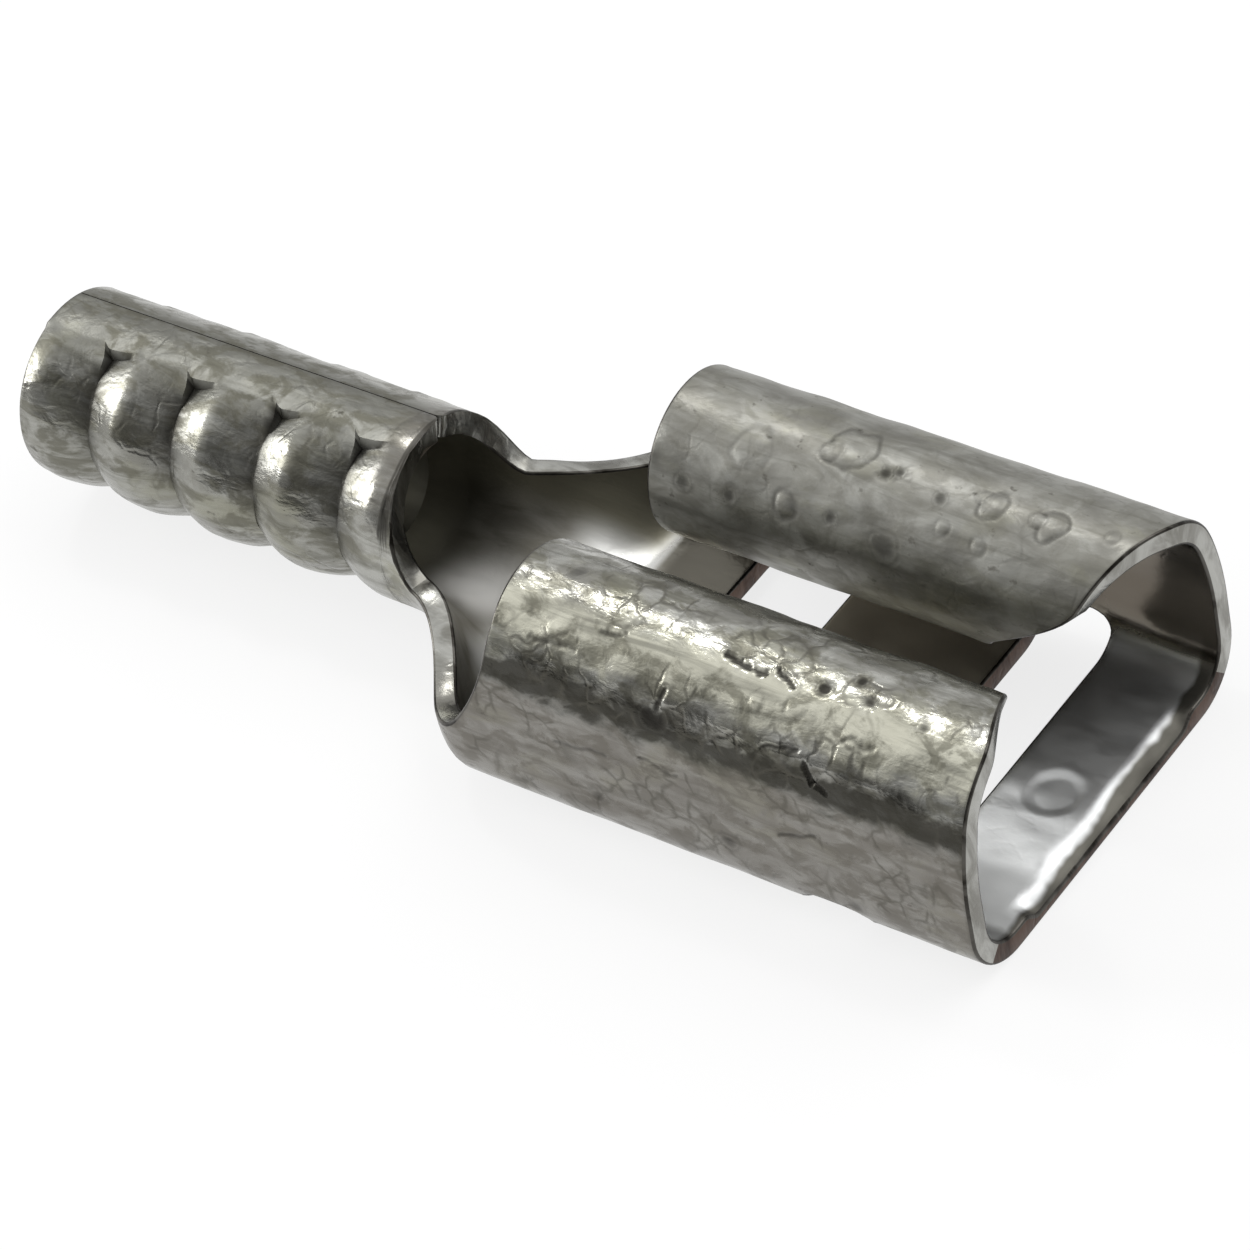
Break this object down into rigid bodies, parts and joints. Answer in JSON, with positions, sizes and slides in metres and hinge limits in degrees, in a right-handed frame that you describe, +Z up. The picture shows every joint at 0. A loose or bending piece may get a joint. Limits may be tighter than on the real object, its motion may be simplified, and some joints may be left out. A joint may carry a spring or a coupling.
{
  "type": "female spade terminal",
  "caption": "Uninsulated female spade terminal folded from tinned brass sheet, with a grooved crimp barrel, an open neck and a flat receptacle whose rolled sides spring onto a blade tab.",
  "frame": {"origin": "centre of the terminal's box seen from above, on the underside of the flat floor", "axes": "+X points out of the receptacle's mouth, -X out of the wire barrel; +Y runs across the receptacle; +Z points up from the flat floor to the rolled sides"},
  "size_m": [0.0208, 0.0078, 0.0043],
  "materials": {
    "terminal": "electro-tinned, semi-bright, with bare brass on the sheared edges"
  },
  "bodies": {
    "root": {"terminal": "terminal"}
  },
  "joints": []
}
